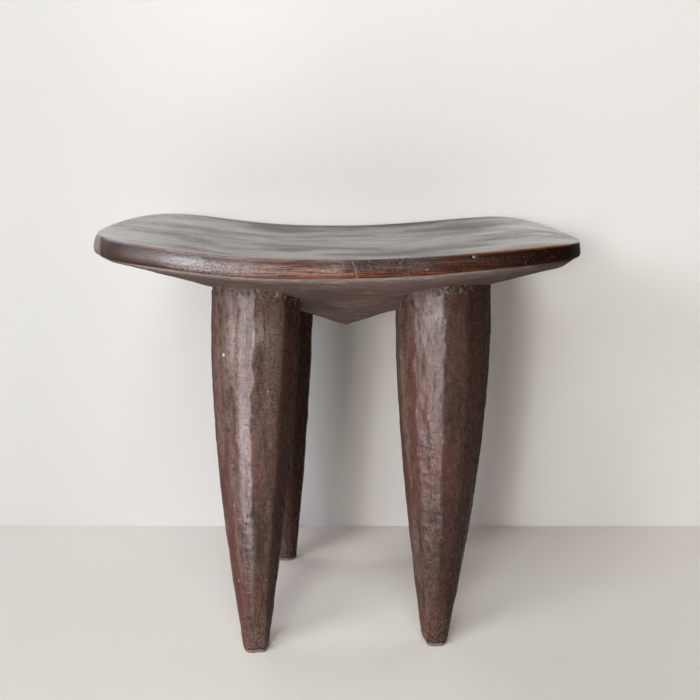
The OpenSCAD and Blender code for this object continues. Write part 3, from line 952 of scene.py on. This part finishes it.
def leg_finish(legs):
    """Knife-cut wood with a waxy sheen. Over its mottled brown come, in turn: redder patches, the
    duller right of the front, patches of painted sheen, grey patina and painted sheen on the open
    side that faces the light, streaks along it and wrinkles across it, painted shade on the side
    away from the light, dark and grey grit, the collar with its pale specks, the single flecks, the
    dusty foot, a dark line over the weathered bevel, that bevel, and a painted contact shadow at the
    sole."""
    f = Finish("leg_wood")
    wood, grey_and_sheen, sawn = legs.wood_colour, legs.grey_patina_and_sheen_colour, legs.sawn_colour
    wrinkles = f.noise(LEG_WRINKLES, detail=4, roughness=0.7, distortion=0.8)
    mottle = f.noise(LEG_MOTTLE, detail=6, roughness=0.75)
    streaks = f.noise(LEG_STREAKS, detail=7, roughness=0.68, distortion=0.6)
    patches = f.noise((30, 30, 13), detail=5, roughness=0.65, distortion=0.4)
    grit = f.noise(LEG_GRIT, roughness=0.7)
    side, height = f.mark("shade"), f.axes()[2]
    reds = f.work("ADD", patches, f.ranged(f.within(side, 0.1, -0.4), 0, 0.09))
    dark = f.within(side, 0.25, 1)
    collar = f.product(f.mark("collar"), (patches, 0.36, 0.56))
    flecks = f.work("ADD", f.mark("fleck"), f.work("SUBTRACT", grit, 0.5))
    colours = f.coats(
        f.two_tone(wood, 0.55, 1.35, f.within(mottle, 0.36, 0.64)),
        (legs.red_colour, 1, (reds, 0.48, 0.6), f.mark("red")),
        (legs.dull_colour, 1, f.mark("dull"), (grit, 0.36, 0.54), 0.8),
        # Patches of painted sheen
        (legs.painted_sheen_colour, 1, f.mark("painted_sheen"), (mottle, 0.3, 0.58), 0.88),
        # Painted sheen: grey on the open side that faces the light
        (grey_and_sheen, 1, (side, 0.2, -0.8), (patches, 0.6, 0.44), (mottle, 0.35, 0.6)),
        (wood, 0.3, (streaks, 0.5, 0.38), 0.55),
        (wood, 0.3, (wrinkles, 0.46, 0.32), 0.45),
        # Painted shade on the side away from the light
        (wood, 0.3, dark, 0.8),
        (wood, 0.25, (grit, 0.47, 0.36), 0.5),
        (grey_and_sheen, 1.2, (grit, 0.55, 0.68), 0.4),
        (wood, 0.3, collar, 0.5),
        (grey_and_sheen, 1.8, (grit, 0.55, 0.64), collar),
        (sawn, 2, (flecks, 0.32, 0.5)),
        (grey_and_sheen, 1.9, (height, *DUSTY_FOOT), (grit, 0.5, 0.62), 0.42),
        (wood, 0.15, (height, *DARK_LINE), (height, *TO_DARK_LINE), (mottle, 0.55, 0.42)),
        (sawn, 1, (height, *BEVEL), (grit, 0.34, 0.46), 0.9),
        # Painted shadow: the sole darkened as a contact shadow
        (wood, 0.1, (height, *PAINTED_CONTACT_SHADOW)))
    gloss = f.work("ADD", f.ranged(mottle, 0.27, 0.5), f.ranged(f.mark("collar"), 0, 0.2))
    gloss = f.work("SUBTRACT", gloss, f.product(dark, 0.12))
    normal = f.relief(
        (f.noise(LEG_WRINKLES, detail=2, distortion=0.8), 0.0004, 0.5),
        (f.noise(LEG_STREAKS, detail=2), 0.0008, 0.5),
        (f.noise(LEG_MOTTLE, detail=1), 0.0007, 0.5),
        (f.noise(LEG_GRIT, detail=1), 0.0004, 0.5))
    return f.done(colours, gloss, normal, 0.35)


class STOOL_OT_seat(bpy.types.Operator):
    """Makes the dished seat with its rim band"""
    bl_idname = "stool.seat"
    bl_label = "Seat"

    def execute(self, context):
        seat = context.scene.stool_seat
        rings, marks = seat_rings(seat)
        top = (0, 0, float(rings[0, :, 2].mean()))
        bottom = (0, 0, float(slab_height(np.array(0.0), seat)))
        piece = closed_skin("dished_seat", rings, top, bottom, marks)
        dress(piece, "seat", seat_finish(seat))
        return {"FINISHED"}


class STOOL_OT_belly(bpy.types.Operator):
    """Makes the pointed belly under the seat"""
    bl_idname = "stool.belly"
    bl_label = "Belly"

    def execute(self, context):
        seat, belly = context.scene.stool_seat, context.scene.stool_belly
        rings, marks = belly_rings(seat, belly)
        top = (0, 0, float(slab_height(np.array(0.0), seat)))
        bottom = (belly.point_x, 0, float(rings[-1, :, 2].mean()))
        piece = closed_skin("pointed_belly", rings, top, bottom, marks)
        dress(piece, "belly", belly_finish(belly))
        return {"FINISHED"}


class STOOL_OT_legs(bpy.types.Operator):
    """Makes the four legs, cut to the belly's lower face"""
    bl_idname = "stool.legs"
    bl_label = "Legs"

    def execute(self, context):
        scene = context.scene
        seat, belly, legs = scene.stool_seat, scene.stool_belly, scene.stool_legs
        finish = leg_finish(legs)
        for name, values in LEGS.items():
            leg = SimpleNamespace(**values)
            rings, marks, top = leg_rings(leg, legs, seat, belly)
            piece = closed_skin(f"{name}_leg", rings, (*leg.root, float(top)), (*leg.foot, 0), marks)
            dress(piece, f"leg_{name}", finish)
        return {"FINISHED"}


# How far the floor and the wall reach, the camera's place and its sensor's width in millimetres,
# the place that the lamps face, and the colour of the light from the room
FLOOR_REACH = 6.0
WALL_REACH = 5.0
CAMERA_PLACE = (0.00915, -1.02, 0.4959)
SENSOR_WIDTH = 36
LAMP_TARGET = (0, 0, 0.2)
ROOM_COLOUR = (1, 0.985, 0.965, 1)

# Painted shade on the plaster: how bright it is made at the far left and right, and places from
# where to where it changes towards those sides
FLOOR_SIDE_SHADE = (0.86, 0.87)
WALL_SIDE_SHADE = (0.81, 1)
TO_LEFT_SIDE = (-0.08, -0.42)
TO_RIGHT_SIDE = (0, 0.25)

# Painted shade in the reflections of polished wood: plaster lower than this and further right than
# this shows dimmer, from where it starts to where it is full, where the left share gives way to the
# right one, and its tone
DIM_BELOW = (0.41, 0.36)
DIM_BEYOND = (0.32, 0.42)
DIM_TURN = (-0.1, 0.1)
DIM_TONE = 0.08

# Each soft lamp: turn to the left and rise in degrees, distance, width, height, share of the
# power, tint, and whether matt and polished surfaces take its light
LAMPS = {
    "window_lamp": (44, 22, 3.0, 1.2, 0.9, 0.83, (0.96, 0.95, 1), True, True),
    "front_lamp": (13, 8, 2.8, 0.4, 0.4, 0.52, (1, 0.94, 0.85), True, True),
    "high_lamp": (17, 25, 2.8, 0.4, 0.4, 0.15, (0.75, 0.88, 1), True, True),
    "top_lamp": (10, 52, 2.8, 1.2, 0.9, 0.68, (0.96, 1, 0.94), True, True),
    "warm_lamp": (-60, 30, 2.8, 0.9, 0.9, 0.08, (1, 0.5, 0.3), True, False),
    "sheen_lamp": (17, 0, 2.8, 0.6, 0.5, 0.64, (0.97, 0.96, 1), False, True),
    "side_lamp": (44, 0, 2.8, 0.7, 0.5, 0.36, (1, 0.94, 0.95), False, True),
    "rim_lamp": (22.5, 23, 2.8, 1.3, 0.8, 1.6, (0.86, 0.93, 1), False, True),
    "low_lamp": (20, -14, 0.72, 0.5, 0.04, 0.08, (0.97, 0.95, 1), False, True),
}


def flat_sheet(name, corners, material):
    """A flat four-sided sheet for the stage."""
    mesh = bpy.data.meshes.new(name)
    mesh.from_pydata(corners, [], [(0, 1, 2, 3)])
    mesh.materials.append(material)
    sheet = bpy.data.objects.new(name, mesh)
    bpy.context.scene.collection.objects.link(sheet)
    return sheet


def plaster(name, tint, side_shade, dim_left, dim_right):
    """Pale matt plaster with faint clouds of tone, and painted shade that makes it a little darker
    towards each side. Polished wood shows it darker below the seat and to the right, a painted shade
    in its reflections."""
    f = Finish(name)
    across, _, up = f.axes()
    clouds = f.noise((3, 3, 3), detail=4)
    mirrored = f.node("ShaderNodeLightPath").outputs["Is Glossy Ray"]
    beyond = f.work("MAXIMUM", f.within(up, *DIM_BELOW), f.within(across, *DIM_BEYOND))
    dim = f.ranged(f.within(across, *DIM_TURN), dim_left, dim_right)
    colours = f.coats(
        f.two_tone(tint, 0.97, 1.02, clouds),
        # Painted shade towards the left and right sides
        (tint, side_shade[0], (across, *TO_LEFT_SIDE)),
        (tint, side_shade[1], (across, *TO_RIGHT_SIDE)),
        # Painted shade in what polished wood reflects
        (tint, DIM_TONE, mirrored, beyond, dim))
    bumps = f.relief((f.noise((60, 60, 60)), 0.0005, 0.2))
    return f.done(colours, 0.9, bumps, 0)


def one_sided(material):
    """Makes the back of a sheet clear, so that the stool shows from behind the wall and below."""
    tree = material.node_tree
    out = tree.nodes["Material Output"]
    geometry = tree.nodes.new("ShaderNodeNewGeometry")
    clear = tree.nodes.new("ShaderNodeBsdfTransparent")
    choice = tree.nodes.new("ShaderNodeMixShader")
    tree.links.new(geometry.outputs["Backfacing"], choice.inputs[0])
    tree.links.new(tree.nodes["Principled BSDF"].outputs[0], choice.inputs[1])
    tree.links.new(clear.outputs[0], choice.inputs[2])
    tree.links.new(choice.outputs[0], out.inputs["Surface"])


def soft_lamp(name, power, turn, rise, distance, width, height, share, tint, matt, polished):
    """A rectangular lamp that faces the stool from a turn, a rise and a distance."""
    turn, rise = math.radians(turn), math.radians(rise)
    lamp = bpy.data.lights.new(name, "AREA")
    lamp.shape = "RECTANGLE"
    lamp.size, lamp.size_y = width, height
    lamp.energy = power * share
    lamp.color = tint
    holder = bpy.data.objects.new(name, lamp)
    out = math.cos(rise) * distance
    holder.location = (LAMP_TARGET[0] - math.sin(turn) * out, LAMP_TARGET[1] - math.cos(turn) * out,
                       LAMP_TARGET[2] + math.sin(rise) * distance)
    holder.rotation_euler = (math.pi / 2 - rise, 0, -turn)
    holder.visible_diffuse = matt
    holder.visible_glossy = polished
    return holder


def room_light(level):
    """An even pale light from all round."""
    world = bpy.data.worlds.new("room")
    world.use_nodes = True
    background = world.node_tree.nodes["Background"]
    background.inputs["Color"].default_value = ROOM_COLOUR
    background.inputs["Strength"].default_value = level
    return world


def front_camera(stage):
    """A camera in front of the stool that looks a little down."""
    lens = bpy.data.cameras.new("camera")
    lens.lens, lens.sensor_width = stage.lens, SENSOR_WIDTH
    camera = bpy.data.objects.new("camera", lens)
    camera.location = CAMERA_PLACE
    camera.rotation_euler = (math.pi / 2 - stage.pitch, 0, 0)
    return camera


class STOOL_OT_stage(bpy.types.Operator):
    """Makes the floor, the wall, the soft lamps, the room light and the camera"""
    bl_idname = "stool.stage"
    bl_label = "Stage"

    def execute(self, context):
        scene = context.scene
        stage = scene.stool_stage
        r, w, y = FLOOR_REACH, WALL_REACH, stage.wall_y
        floor = plaster("floor_plaster", stage.floor_colour, FLOOR_SIDE_SHADE, stage.dim_floor,
                        stage.dim_floor)
        wall = plaster("wall_plaster", stage.wall_colour, WALL_SIDE_SHADE, stage.dim_wall,
                       stage.dim_right_wall)
        one_sided(floor)
        one_sided(wall)
        flat_sheet("floor", [(-r, -r, 0), (r, -r, 0), (r, r, 0), (-r, r, 0)], floor)
        flat_sheet("wall", [(-w, y, 0), (w, y, 0), (w, y, w), (-w, y, w)], wall)
        scene.world = room_light(stage.world_level)
        for name, values in LAMPS.items():
            scene.collection.objects.link(soft_lamp(name, stage.lamp_power, *values))
        camera = front_camera(stage)
        scene.collection.objects.link(camera)
        scene.camera = camera
        scene.view_settings.view_transform = "Standard"
        return {"FINISHED"}


class STOOL_PT_panel(bpy.types.Panel):
    """Lists the stool's pieces and sizes"""
    bl_idname = "STOOL_PT_panel"
    bl_label = "Carved Stool"
    bl_space_type = "VIEW_3D"
    bl_region_type = "UI"
    bl_category = "Stool"

    def draw(self, context):
        for name, kind in GROUPS.items():
            box = self.layout.box()
            box.operator(name.replace("_", "."))
            for key in kind.__annotations__:
                box.prop(getattr(context.scene, name), key)


CLASSES = (SeatSizes, BellySizes, LegSizes, StageSizes, STOOL_OT_seat, STOOL_OT_belly,
           STOOL_OT_legs, STOOL_OT_stage, STOOL_PT_panel)
GROUPS = {"stool_seat": SeatSizes, "stool_belly": BellySizes, "stool_legs": LegSizes,
          "stool_stage": StageSizes}


def register():
    for kind in CLASSES:
        bpy.utils.register_class(kind)
    for name, kind in GROUPS.items():
        setattr(bpy.types.Scene, name, PointerProperty(type=kind))


def unregister():
    for name in GROUPS:
        delattr(bpy.types.Scene, name)
    for kind in reversed(CLASSES):
        bpy.utils.unregister_class(kind)


def main():
    register()
    bpy.ops.stool.seat()
    bpy.ops.stool.belly()
    bpy.ops.stool.legs()
    bpy.ops.stool.stage()


if __name__ == "__main__":
    main()
